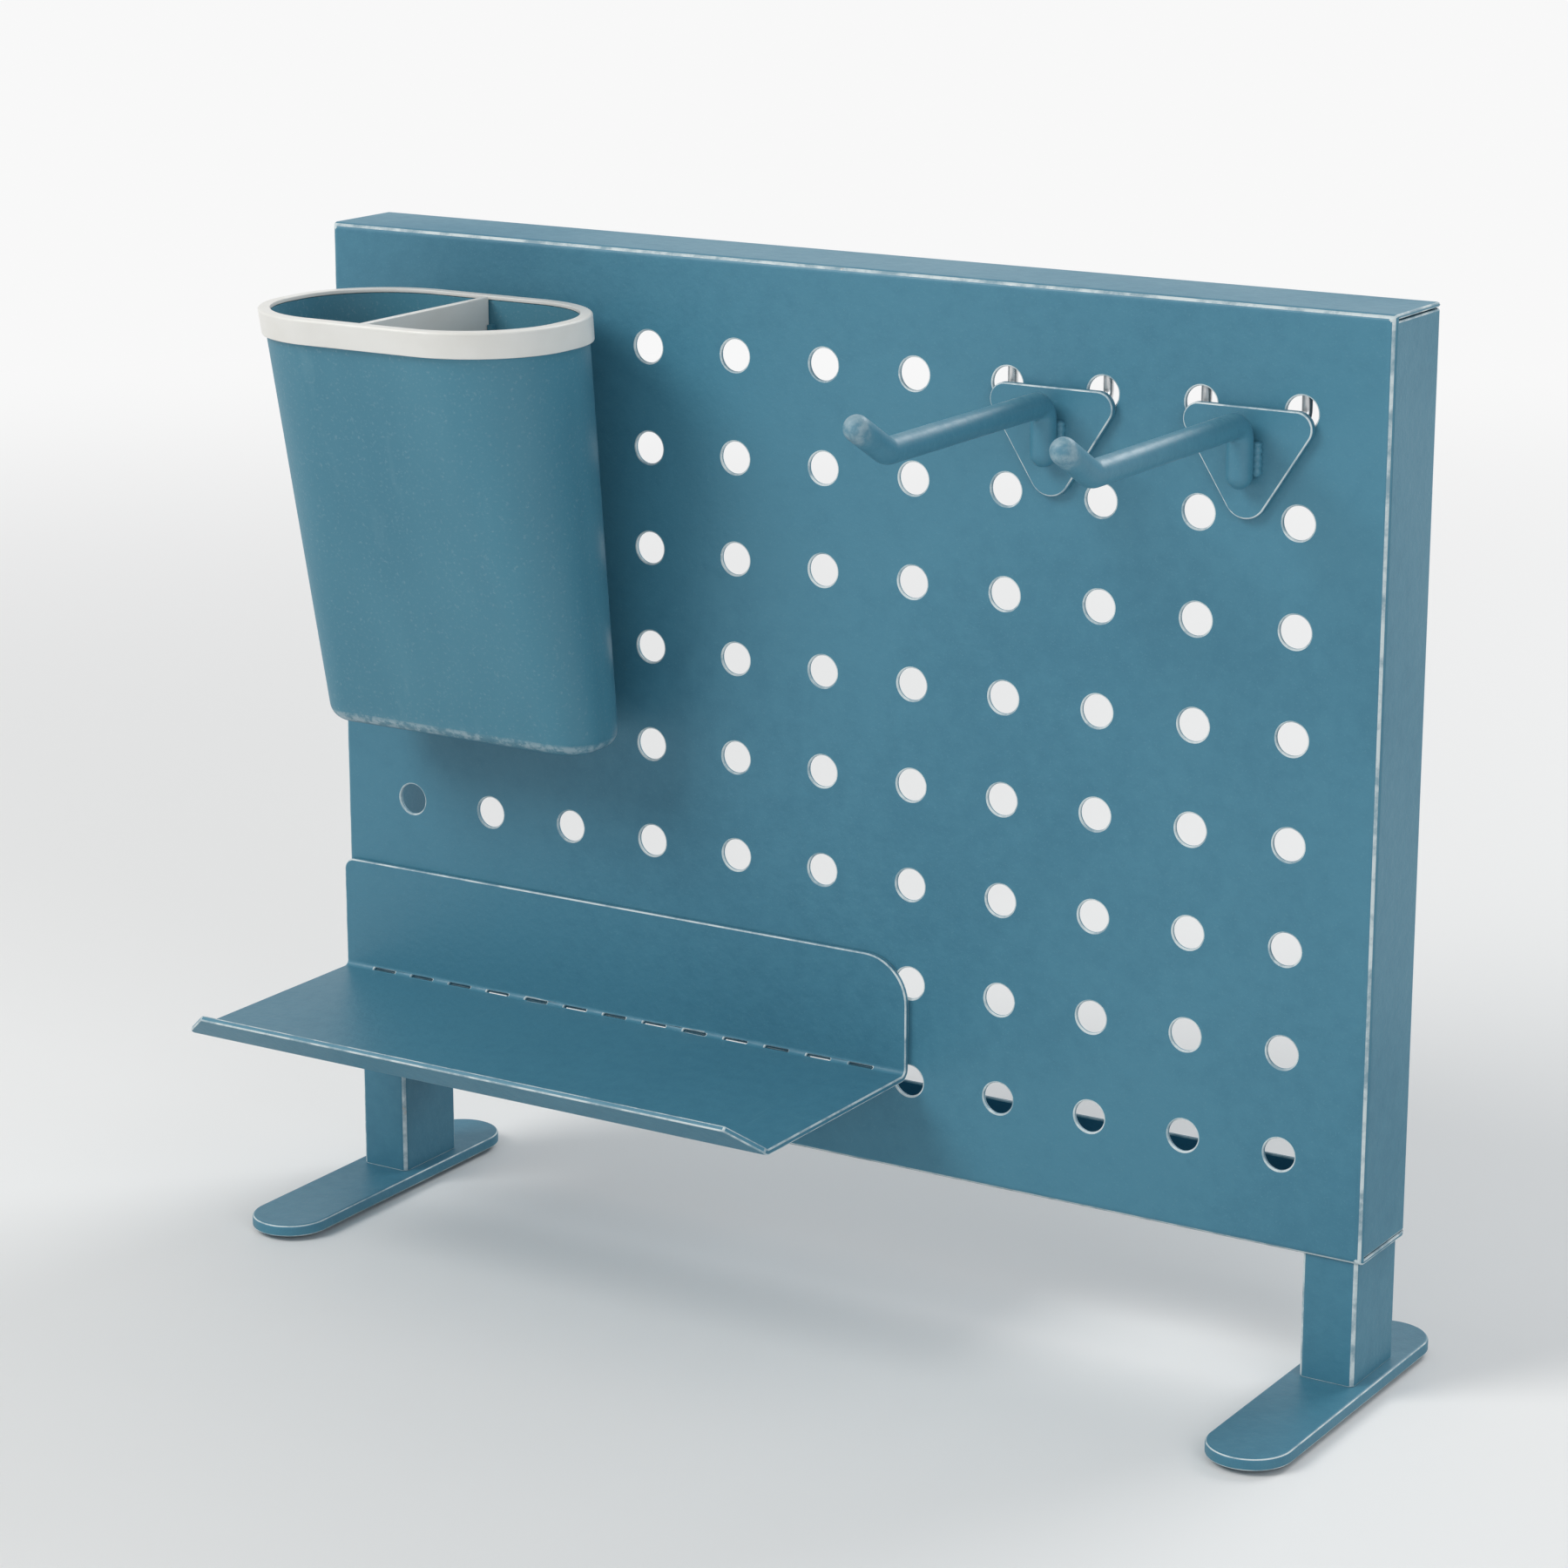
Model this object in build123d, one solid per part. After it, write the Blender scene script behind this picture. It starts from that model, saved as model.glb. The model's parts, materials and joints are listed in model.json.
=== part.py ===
"""Desktop pegboard organizer: a folded steel pegboard on two T legs, with a pen cup, a shelf and two hooks.

Millimetres, +Z up. X runs along the board, and -Y is the side that faces the user. The origin is the
middle of the footprint, on the desk. Every piece is first placed with the board's front face at y = 0.
"""

import math
import os

from build123d import *

# Peg holes
hole_pitch = 25.4
hole_columns = 11
hole_rows = 8
hole_diameter = 8.0

# Pegboard panel, one sheet folded into a shallow pan
panel_sheet = 1.2
panel_depth = 26.0
panel_bend = 2.0
panel_return = 14.0
panel_seam = 0.35
side_margin = 22.0
top_margin = 24.0
bottom_margin = 24.0

# Legs
leg_clearance = 31.5
post_width = 14.4
post_wall = 1.2
post_corner = 1.6
post_insert = 120.0
post_fit = 0.2
plug_length = 16.0
plug_fit = 0.1
cap_head = 1.6
cap_skirt = 7.0
foot_front = 51.0
foot_rear = 22.0
foot_width = 21.0
foot_thickness = 3.0
foot_edge = 0.8
pad_diameter = 14.0
pad_thickness = 1.5

# Fasteners of the legs
screw_diameter = 3.95
screw_length = 8.0
screw_head_diameter = 7.6
screw_head_height = 2.2
screw_socket = 2.5
screw_socket_depth = 1.3
screw_fit = 0.05
screw_low = 30.0
screw_spacing = 70.0
nut_width = 7.0
nut_thickness = 3.2
foot_screw_diameter = 2.95
foot_screw_length = 14.0
foot_screw_head = 6.0
foot_screw_spacing = 7.6

# Tabs that drop behind the board, on the cup's hanger and on the shelf
tab_thickness = 2.0
tab_neck = 3.0
tab_drop = 3.4
tab_tail = 2.2
tab_seat = 0.2
tab_gap = 0.3
standoff = 0.2

# Cup hanger and the cleat on the cup
hanger_holes = ((1, 2), (3, 2))
hanger_sheet = 1.5
hanger_bend = 0.8
hanger_end = 7.0
hanger_low = 8.0
hanger_shoulder = 3.0
hanger_height = 9.0
cleat_width = 36.0
cleat_fit = 0.4
cleat_skirt = 14.0
rivet_diameter = 3.2
rivet_head = 6.0
rivet_head_height = 1.2
rivet_spacing = 24.0
bumper_diameter = 9.0
bumper_height = 9.6
bumper_spacing = 44.0
bumper_fit = 0.3

# Pen cup
cup_height = 109.5
cup_below_top = 14.5
cup_aside = 8.6
cup_top_width = 83.6
cup_top_depth = 56.0
cup_bottom_width = 83.0
cup_bottom_depth = 22.0
cup_end_flat = 4.0
cup_wall = 2.0
cup_floor = 2.5
cup_foot_radius = 5.0
rim_wall = 1.0
rim_height = 5.6
rim_fit = 0.1
divider_thickness = 1.6
divider_fit = 0.3
divider_above_top = 0.9
divider_above_floor = 5.0
rib_width = 1.4
rib_depth = 1.6
rib_below_top = 6.0

# Shelf
shelf_holes = ((1, 7), (6, 7))
shelf_end_hole = (7, 7)
shelf_sheet = 1.5
shelf_bend = 1.5
shelf_back_above = 6.4
shelf_drop = 23.5
shelf_depth = 64.0
shelf_lip = 9.0
shelf_lip_angle = 45.0
shelf_lip_mitre = 8.0
shelf_end_radius = 12.0
shelf_wall_radius = 3.0
shelf_slot_length = 7.0
shelf_slot_width = 0.9
shelf_slot_gap = 5.4

# Hooks
hook_holes = {"left": ((8, 1), (9, 1)), "right": ((10, 1), (11, 1))}
hook_plate_thickness = 2.0
hook_plate_end = 3.6
hook_plate_above = 0.6
hook_plate_height = 26.0
hook_plate_corner = 4.0
hook_plate_tip = 5.5
hook_plate_edge = 0.4
rod_diameter = 6.2
rod_leg = 12.0
rod_below_top = 3.4
rod_reach = 72.0
rod_bend = 4.2
rod_tip_out = 12.5
rod_tip_up = 7.0
rod_tip_bend = 5.0
rod_fit = 0.05
prong_diameter = 2.5
prong_tail = 7.0
prong_gap = 0.25
prong_seat = 0.3

# Sizes that follow from the ones above
panel_width = (hole_columns - 1) * hole_pitch + 2 * side_margin
panel_height = (hole_rows - 1) * hole_pitch + top_margin + bottom_margin
foot_top = pad_thickness + foot_thickness
panel_bottom = foot_top + leg_clearance
panel_top = panel_bottom + panel_height
hole_radius = hole_diameter / 2
post_depth = panel_depth - 2 * panel_sheet - 2 * post_fit
post_outer_x = panel_width / 2 - panel_sheet - post_fit
post_x = post_outer_x - post_width / 2
post_front = panel_sheet + post_fit
post_rear = post_front + post_depth
post_y = (post_front + post_rear) / 2
post_top = panel_bottom + post_insert
shelf_lip_turn = math.radians(shelf_lip_angle)
shelf_front = (standoff + shelf_sheet + shelf_depth
               + shelf_lip * math.cos(shelf_lip_turn) + shelf_sheet * math.sin(shelf_lip_turn))
hook_front = (standoff + hook_plate_thickness + rod_fit + rod_diameter
              + rod_reach + rod_tip_out)
front_reach = max(shelf_front, hook_front, foot_front - post_front)
rear_reach = post_rear + foot_rear
depth_centre = (rear_reach - front_reach) / 2


def hole_x(hole):
    """X of a hole given as (column, row), counted from the left and from the top."""
    return (hole[0] - (hole_columns + 1) / 2) * hole_pitch


def hole_z(hole):
    return panel_top - top_margin - (hole[1] - 1) * hole_pitch


def mid_x(holes):
    return (hole_x(holes[0]) + hole_x(holes[-1])) / 2


def side_profile(*outline):
    """A face in the YZ plane from lines given as (y, z) points."""
    return Plane.YZ * make_face(Polyline(*outline, close=True))


def folded_sheet(points, bend, thickness, side):
    """A folded sheet's section in the YZ plane: a rounded line of (y, z) points, thickened to one side."""
    line = FilletPolyline(*points, radius=bend)
    return Plane.YZ * make_face(offset(line, amount=thickness, side=side))


def along_x(face, width, x=0.0):
    """Extrudes a face of the YZ plane both ways, so that it is centred on x."""
    return Pos(x, 0, 0) * extrude(face, amount=width / 2, both=True)


def pegboard_panel():
    mid = Pos(0, panel_depth / 2, panel_bottom + panel_height / 2)
    skin = Box(panel_width, panel_depth, panel_height)
    front_and_rear = skin.faces().sort_by(Axis.Y)
    skin = fillet(front_and_rear[0].edges() + front_and_rear[-1].edges(), panel_bend)
    room = Box(panel_width - 2 * panel_sheet, panel_depth - 2 * panel_sheet, panel_height - 2 * panel_sheet)
    room_ends = room.faces().sort_by(Axis.Y)
    room = fillet(room_ends[0].edges() + room_ends[-1].edges(), panel_bend - panel_sheet)
    back = Pos(0, panel_depth / 2, 0) * Box(
        panel_width - 2 * panel_return, 4 * panel_sheet, panel_height - 2 * panel_return
    )
    pan = mid * (skin - room - back)
    circles = Plane.XZ * (
        Pos(0, panel_top - top_margin - (hole_rows - 1) * hole_pitch / 2)
        * (Sketch() + [loc * Circle(hole_radius)
                       for loc in GridLocations(hole_pitch, hole_pitch, hole_columns, hole_rows)])
    )
    pan -= extrude(circles, amount=2 * panel_sheet, both=True)
    for side in (-1, 1):
        pan -= corner_seams(side)
        pan -= Pos(side * post_x, post_y, panel_bottom) * Box(
            post_width + 2 * post_fit, post_depth + 2 * post_fit, 4 * panel_sheet
        )
        pan -= Pos(side * post_x, panel_depth, 0) * screw_holes(screw_diameter / 2 + 5 * screw_fit)
    return pan


def corner_seams(side):
    """The open joints of the fold: the side flange stops just under the top one and over the bottom one."""
    length = panel_depth - panel_bend
    seams = Part()
    for z in (panel_top - panel_sheet - panel_seam / 2, panel_bottom + panel_sheet + panel_seam / 2):
        seams += Pos(side * panel_width / 2, panel_bend + length, z) * Box(
            2 * panel_return, 2 * length, panel_seam
        )
    return seams


def screw_levels():
    return [panel_bottom + screw_low, panel_bottom + screw_low + screw_spacing]


def screw_holes(radius):
    """Two bores along Y at the leg screws, centred on x = 0 and y = 0."""
    return Part() + [
        Pos(0, 0, z) * Rot(90, 0, 0) * Cylinder(radius, 4 * (panel_sheet + post_wall))
        for z in screw_levels()
    ]


def post(side):
    tube = RectangleRounded(post_width, post_depth, post_corner)
    tube -= post_inside(0)
    body = Pos(side * post_x, post_y, foot_top) * extrude(tube, amount=post_top - foot_top)
    return body - Pos(side * post_x, post_rear, 0) * screw_holes(screw_diameter / 2 + 4 * screw_fit)


def post_inside(fit):
    return RectangleRounded(
        post_width - 2 * post_wall - 2 * fit, post_depth - 2 * post_wall - 2 * fit, post_corner - post_wall
    )


def post_cap(side):
    head = extrude(RectangleRounded(post_width, post_depth, post_corner), amount=cap_head)
    head = fillet(head.faces().sort_by(Axis.Z)[-1].edges(), cap_head / 2)
    skirt = post_inside(plug_fit) - offset(post_inside(plug_fit), amount=-post_wall)
    return Pos(side * post_x, post_y, post_top) * (head + extrude(skirt, amount=-cap_skirt))


def foot_screw_spots(side):
    return [
        Pos(side * post_x, post_y + step * foot_screw_spacing / 2, pad_thickness) for step in (-1, 1)
    ]


def post_plug(side):
    body = Pos(side * post_x, post_y, foot_top) * extrude(post_inside(plug_fit), amount=plug_length)
    bore = Cylinder(foot_screw_diameter / 2 + screw_fit, 4 * plug_length)
    return body - [spot * bore for spot in foot_screw_spots(side)]


def post_nuts(side):
    """Square nuts welded inside the rear wall of the post."""
    y = post_rear - post_wall - nut_thickness / 2
    nut = Box(nut_width, nut_thickness, nut_width) - Rot(90, 0, 0) * Cylinder(
        screw_diameter / 2 + screw_fit, 2 * nut_thickness
    )
    nut = chamfer(nut.edges().filter_by(Axis.Y), nut_width / 10)
    return [Pos(side * post_x, y, z) * nut for z in screw_levels()]


def post_screws(side):
    """Button head screws from behind, through the panel's return into the nuts."""
    low = (Align.CENTER, Align.CENTER, Align.MIN)
    head = Cylinder(screw_head_diameter / 2, screw_head_height, align=low)
    head = fillet(head.faces().sort_by(Axis.Z)[-1].edges(), screw_head_height * 0.8)
    socket = extrude(
        RegularPolygon(screw_socket / 2, 6, major_radius=False), amount=screw_socket_depth
    )
    head -= Pos(0, 0, screw_head_height - screw_socket_depth) * socket
    shank = Cylinder(screw_diameter / 2, screw_length, align=(Align.CENTER, Align.CENTER, Align.MAX))
    screw = Rot(-90, 0, 0) * (head + shank)
    return [Pos(side * post_x, panel_depth, z) * screw for z in screw_levels()]


def foot(side):
    length = foot_front + post_depth + foot_rear
    plate = extrude(Rot(0, 0, 90) * SlotOverall(length, foot_width), amount=foot_thickness)
    plate = fillet(plate.faces().sort_by(Axis.Z)[-1].edges(), foot_edge)
    y = (post_front - foot_front + post_rear + foot_rear) / 2
    plate = Pos(side * post_x, y, pad_thickness) * plate
    sink = foot_screw_head / 2 + screw_fit
    hole = Cylinder(foot_screw_diameter / 2 + 2 * screw_fit, 4 * foot_thickness) + Cone(
        sink, foot_screw_diameter / 2 + 2 * screw_fit, sink - foot_screw_diameter / 2 - 2 * screw_fit,
        align=(Align.CENTER, Align.CENTER, Align.MIN),
    )
    return plate - [spot * hole for spot in foot_screw_spots(side)]


def foot_screws(side):
    """Countersunk screws from below, into the plug of the post."""
    head = Cone(
        foot_screw_head / 2, foot_screw_diameter / 2, (foot_screw_head - foot_screw_diameter) / 2,
        align=(Align.CENTER, Align.CENTER, Align.MIN),
    )
    screw = head + Cylinder(
        foot_screw_diameter / 2, foot_screw_length, align=(Align.CENTER, Align.CENTER, Align.MIN)
    )
    cross = Box(foot_screw_head * 0.6, foot_screw_diameter / 4, foot_screw_diameter / 3)
    screw -= cross + Rot(0, 0, 90) * cross
    return [spot * screw for spot in foot_screw_spots(side)]


def foot_pads(side):
    """Rubber discs stuck under both ends of the foot."""
    pad = Cylinder(pad_diameter / 2, pad_thickness, align=(Align.CENTER, Align.CENTER, Align.MIN))
    pad = fillet(pad.faces().sort_by(Axis.Z)[0].edges(), pad_thickness / 4)
    ends = (post_front - foot_front + foot_width / 2, post_rear + foot_rear - foot_width / 2)
    return [Pos(side * post_x, y, 0) * pad for y in ends]


def drop_tab():
    """A flat tab through a peg hole, with a tail that drops behind the board; the hole is at x = z = 0."""
    seat = math.sqrt(hole_radius**2 - (tab_thickness / 2) ** 2) - tab_seat
    inside = panel_sheet + tab_gap
    face = side_profile(
        (-standoff, -seat),
        (inside, -seat),
        (inside, -seat - tab_drop),
        (inside + tab_tail, -seat - tab_drop),
        (inside + tab_tail, -seat + tab_neck),
        (-standoff, -seat + tab_neck),
    )
    tab = along_x(face, tab_thickness)
    crown = tab.edges().filter_by(Axis.X).group_by(Axis.Y)[-1]
    return fillet(crown, tab_tail * 0.45)


def tabs(holes):
    return [Pos(hole_x(hole), 0, hole_z(hole)) * drop_tab() for hole in holes]


def hanger_front():
    """Y of the front of the hanger's raised edge, on which the cup's cleat hangs."""
    return -(standoff + 2 * hanger_sheet + 2 * cleat_fit + hanger_sheet)


def cup_hanger():
    """A strip against the board whose upper edge steps forward, so that a cleat can hook over it."""
    z = hole_z(hanger_holes[0])
    step = hanger_front() + hanger_sheet
    line = [
        (-standoff, z - hanger_low),
        (-standoff, z + hanger_shoulder),
        (step, z + hanger_shoulder + hanger_sheet),
        (step, hanger_edge_z()),
    ]
    section = folded_sheet(line, hanger_bend, hanger_sheet, Side.LEFT)
    width = hole_x(hanger_holes[1]) - hole_x(hanger_holes[0]) + 2 * hanger_end
    strip = along_x(section, width, mid_x(hanger_holes))
    low_corners = strip.edges().filter_by(Axis.Y).group_by(Axis.Z)[0]
    return fillet(low_corners, hanger_end / 2)


def hanger_edge_z():
    return hole_z(hanger_holes[0]) + hanger_shoulder + hanger_sheet + hanger_height


def cup_x():
    """X of the cup's middle; its cleat may sit anywhere along the hanger."""
    return mid_x(hanger_holes) + cup_aside


def cup_back():
    """Y of the cup's flat back, behind which the cleat is riveted."""
    return hanger_front() - cleat_fit - hanger_sheet


def cup_cleat():
    """A strip on the cup's back that goes over the hanger's edge and down behind it."""
    top = hanger_edge_z() + cleat_fit
    front = hanger_front() - cleat_fit
    behind = hanger_front() + hanger_sheet + cleat_fit
    drop = hanger_height - 2 * cleat_fit - hanger_bend
    line = [(front, top - cleat_skirt - hanger_height), (front, top), (behind, top), (behind, top - drop)]
    section = folded_sheet(line, hanger_bend / 2, hanger_sheet, Side.LEFT)
    strip = along_x(section, cleat_width, cup_x())
    return strip - [hole for hole in rivet_spots(Cylinder(rivet_diameter / 2 + rim_fit, 8 * hanger_sheet))]


def rivet_spots(shape):
    """A shape along Z, turned to point backwards, at both rivets of the cup's back."""
    z = hanger_edge_z() - hanger_height - cleat_skirt / 2
    return [
        Pos(cup_x() + step * rivet_spacing / 2, cup_back(), z) * Rot(-90, 0, 0) * shape
        for step in (-1, 1)
    ]


def cup_rivets():
    """Rivets with a round head inside the cup, closed flush on the cleat."""
    low = (Align.CENTER, Align.CENTER, Align.MIN)
    high = (Align.CENTER, Align.CENTER, Align.MAX)
    inner_head = Cylinder(rivet_head / 2, rivet_head_height, align=high)
    inner_head = fillet(inner_head.faces().sort_by(Axis.Z)[0].edges(), rivet_head_height * 0.7)
    shank = Cylinder(rivet_diameter / 2, cup_wall + hanger_sheet, align=low)
    inside = Pos(0, 0, -cup_wall) * (inner_head + shank)
    return rivet_spots(inside)


def cup_bumpers():
    """Rubber studs low on the cup's back that keep it upright, between two rows of holes."""
    length = -cup_back() - bumper_fit
    stud = Cylinder(bumper_diameter / 2, length, align=(Align.CENTER, Align.CENTER, Align.MIN))
    stud = fillet(stud.faces().sort_by(Axis.Z)[-1].edges(), bumper_diameter / 8)
    z = cup_top() - cup_height + bumper_height
    return [
        Pos(cup_x() + step * bumper_spacing / 2, cup_back(), z) * Rot(-90, 0, 0) * stud
        for step in (-1, 1)
    ]


def cup_top():
    return panel_top - cup_below_top


def cup_section(z, grow=0.0):
    """The cup's plan at a height: a flat front and back with round ends, made larger by grow."""
    share = (z - cup_top() + cup_height) / cup_height
    width = cup_bottom_width + share * (cup_top_width - cup_bottom_width)
    depth = cup_bottom_depth + share * (cup_top_depth - cup_bottom_depth)
    corner = (depth - cup_end_flat) / 2
    return Pos(cup_x(), cup_back() - depth / 2, z) * RectangleRounded(
        width + 2 * grow, depth + 2 * grow, corner + grow
    )


def cup_taper(low, high, grow=0.0):
    return loft([cup_section(low, grow), cup_section(high, grow)], ruled=True)


def cup_body():
    bottom = cup_top() - cup_height
    shell = cup_taper(bottom, cup_top())
    shell = fillet(shell.faces().sort_by(Axis.Z)[0].edges(), cup_foot_radius)
    room = cup_taper(bottom + cup_floor, cup_top() + cup_floor, -cup_wall)
    room = fillet(room.faces().sort_by(Axis.Z)[0].edges(), cup_foot_radius - cup_wall)
    shell = shell - room + cup_ribs(bottom)
    return shell - [hole for hole in rivet_spots(Cylinder(rivet_diameter / 2 + rim_fit, 8 * cup_wall))]


def cup_ribs(bottom):
    """Two pairs of ribs inside the front and the back, which guide the divider."""
    high = cup_top() - rib_below_top
    shell = cup_taper(bottom + cup_floor / 2, high, -cup_wall / 2)
    core = cup_taper(bottom + cup_floor / 2, high, -cup_wall - rib_depth)
    slot = divider_thickness + 2 * divider_fit
    band = Part() + [
        Pos(cup_x() + step * (slot + rib_width) / 2, cup_back() - cup_top_depth / 2, cup_top())
        * Box(rib_width, 2 * cup_top_depth, 4 * cup_height)
        for step in (-1, 1)
    ]
    return (shell - core) & band


def cup_rim():
    """A ring that sits on the cup's edge and goes down its outside as a band."""
    low = cup_top() - rim_height
    high = cup_top() + rim_fit + rim_wall
    ring = cup_taper(low, high, rim_fit + rim_wall)
    ring -= cup_taper(low - rim_wall, high + rim_wall, -cup_wall)
    ring -= cup_taper(low - rim_wall, cup_top() + rim_fit, rim_fit)
    return fillet(ring.faces().sort_by(Axis.Z)[-1].outer_wire().edges(), rim_wall * 0.6)


def cup_divider():
    """A thin wall from front to back that slides down between the ribs, level with the rim."""
    low = cup_top() - cup_height + cup_floor + divider_above_floor
    high = cup_top() + divider_above_top
    middle = Pos(cup_x(), cup_back() - cup_top_depth / 2, high)
    plate = cup_taper(low, high, -cup_wall - divider_fit)
    return plate & middle * Box(divider_thickness, 2 * cup_top_depth, 4 * cup_height)


def shelf_tray():
    """One sheet folded twice: a back plate, the tray and a low front lip turned up and out."""
    top = hole_z(shelf_holes[0]) + shelf_back_above
    fold = hole_z(shelf_holes[0]) - shelf_drop
    back, front = -standoff - shelf_sheet, -standoff - shelf_sheet - shelf_depth
    line = [
        (back, top), (back, fold), (front, fold),
        (front - shelf_lip * math.cos(shelf_lip_turn), fold + shelf_lip * math.sin(shelf_lip_turn)),
    ]
    section = folded_sheet(line, shelf_bend, shelf_sheet, Side.LEFT)
    left, right = -panel_width / 2, hole_x(shelf_end_hole)
    tray = along_x(section, right - left, (left + right) / 2)
    wall_edges = tray.edges().filter_by(Axis.Y).group_by(Axis.Z)[-1].sort_by(Axis.X)
    tray = fillet(wall_edges[0], shelf_wall_radius)
    end_edge = tray.edges().filter_by(Axis.Y).group_by(Axis.Z)[-1].sort_by(Axis.X)[-1]
    tray = fillet(end_edge, shelf_end_radius)
    tray -= fold_slots(left, right, back, fold)
    for x, way in ((left, 1), (right, -1)):
        corner = Pos(x, line[3][0], line[3][1]) * Rot(X=-shelf_lip_angle) * Pos(0, shelf_lip / 2, 0)
        tray -= corner * mitre_block(way)
    return tray


def fold_slots(left, right, back, fold):
    """A row of short slots along the shelf's fold, which let the sheet be bent there."""
    period = shelf_slot_length + shelf_slot_gap
    count = int((right - left - shelf_slot_gap) / period)
    slot = extrude(SlotOverall(shelf_slot_length, shelf_slot_width), amount=2 * shelf_sheet, both=True)
    start = (left + right - (count - 1) * period) / 2
    bend_in = shelf_bend * (1 - math.sqrt(0.5))
    return [
        Pos(start + step * period, back - bend_in, fold + bend_in) * Rot(45, 0, 0) * slot
        for step in range(count)
    ]


def mitre_block(way):
    """A wedge that cuts a lip's end off at 45 degrees; y runs down the lip, from its outer edge."""
    outline = [
        (-way, -shelf_lip),
        (way * shelf_lip_mitre, -shelf_lip),
        (way * shelf_lip_mitre, -shelf_lip / 2),
        (0, -shelf_lip / 2 + shelf_lip_mitre),
        (-way, -shelf_lip / 2 + shelf_lip_mitre),
    ]
    wedge = make_face(Polyline(*outline, close=True))
    return extrude(wedge, amount=2 * shelf_bend + shelf_sheet, both=True)


def hook_plate(holes):
    """A rounded triangle, point down, that bears on the board under its two prongs."""
    half = (hole_x(holes[1]) - hole_x(holes[0])) / 2 + hook_plate_end - hook_plate_corner
    top = hole_z(holes[0]) + hook_plate_above
    rounds = Sketch() + [
        Pos(-half, top - hook_plate_corner) * Circle(hook_plate_corner),
        Pos(half, top - hook_plate_corner) * Circle(hook_plate_corner),
        Pos(0, top - hook_plate_height + hook_plate_tip) * Circle(hook_plate_tip),
    ]
    plate = extrude(Plane.XZ * make_hull(rounds.edges()), amount=hook_plate_thickness)
    plate = fillet(plate.faces().sort_by(Axis.Y)[0].edges(), hook_plate_edge)
    return Pos(mid_x(holes), -standoff, 0) * plate


def hook_rod(holes):
    """A bent rod: a leg down the plate, an arm out to the front and a tip turned up, with rounded ends."""
    leg_y = -(standoff + hook_plate_thickness + rod_fit + rod_diameter / 2)
    arm_z = hole_z(holes[0]) + hook_plate_above - rod_below_top
    tip_y = leg_y - rod_reach
    route = [
        (leg_y, arm_z - rod_leg), (leg_y, arm_z), (tip_y, arm_z), (tip_y - rod_tip_out, arm_z + rod_tip_up),
    ]
    path = Plane.YZ * FilletPolyline(*route, radius=[rod_bend, rod_tip_bend])
    rod = sweep(Plane(path @ 0, z_dir=path % 0) * Circle(rod_diameter / 2), path)
    rod += [Pos(path @ 0) * Sphere(rod_diameter / 2), Pos(path @ 1) * Sphere(rod_diameter / 2)]
    return Pos(mid_x(holes), 0, 0) * rod


def hook_prongs(holes):
    """Wires on the plate's back that curve up behind the board, so the hook comes out when it is tilted."""
    radius = prong_diameter / 2
    bend = standoff + panel_sheet + prong_gap + radius
    low = -hole_radius + prong_seat + radius
    arc = CenterArc((-standoff, low + bend), bend, -90, 90)
    path = Plane.YZ * (arc + Line(arc @ 1, arc @ 1 + Vector(0, prong_tail)))
    wire = sweep(Plane(path @ 0, z_dir=path % 0) * Circle(radius), path)
    wire = fillet(wire.faces().sort_by(Axis.Z)[-1].edges(), radius * 0.6)
    return [Pos(hole_x(hole), 0, hole_z(hole)) * wire for hole in holes]


def pieces():
    made = {"pegboard_panel": pegboard_panel()}
    for side, name in ((-1, "left"), (1, "right")):
        made[f"{name}_post"] = post(side)
        made[f"{name}_post_cap"] = post_cap(side)
        made[f"{name}_post_plug"] = post_plug(side)
        made[f"{name}_post_nuts"] = post_nuts(side)
        made[f"{name}_post_screws"] = post_screws(side)
        made[f"{name}_foot"] = foot(side)
        made[f"{name}_foot_screws"] = foot_screws(side)
        made[f"{name}_foot_pads"] = foot_pads(side)
    made["cup_hanger"] = cup_hanger()
    made["hanger_tabs"] = tabs(hanger_holes)
    made["cup_body"] = cup_body()
    made["cup_rim"] = cup_rim()
    made["cup_divider"] = cup_divider()
    made["cup_cleat"] = cup_cleat()
    made["cup_rivets"] = cup_rivets()
    made["cup_bumpers"] = cup_bumpers()
    made["shelf_tray"] = shelf_tray()
    made["shelf_tabs"] = tabs(shelf_holes)
    for name, holes in hook_holes.items():
        made[f"{name}_hook_plate"] = hook_plate(holes)
        made[f"{name}_hook_rod"] = hook_rod(holes)
        made[f"{name}_hook_prongs"] = hook_prongs(holes)
    return made


def main():
    os.makedirs("parts", exist_ok=True)
    place = Pos(0, -depth_centre, 0)
    for name, piece in pieces().items():
        solids = piece if isinstance(piece, list) else [piece]
        moved = [place * solid for solid in solids]
        shape = moved[0] if len(moved) == 1 else Compound(children=moved)
        export_step(shape, f"parts/{name}.step")


if __name__ == "__main__":
    main()
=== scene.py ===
import json
import math

import bmesh
import bpy
from mathutils import Matrix, Vector


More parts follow.
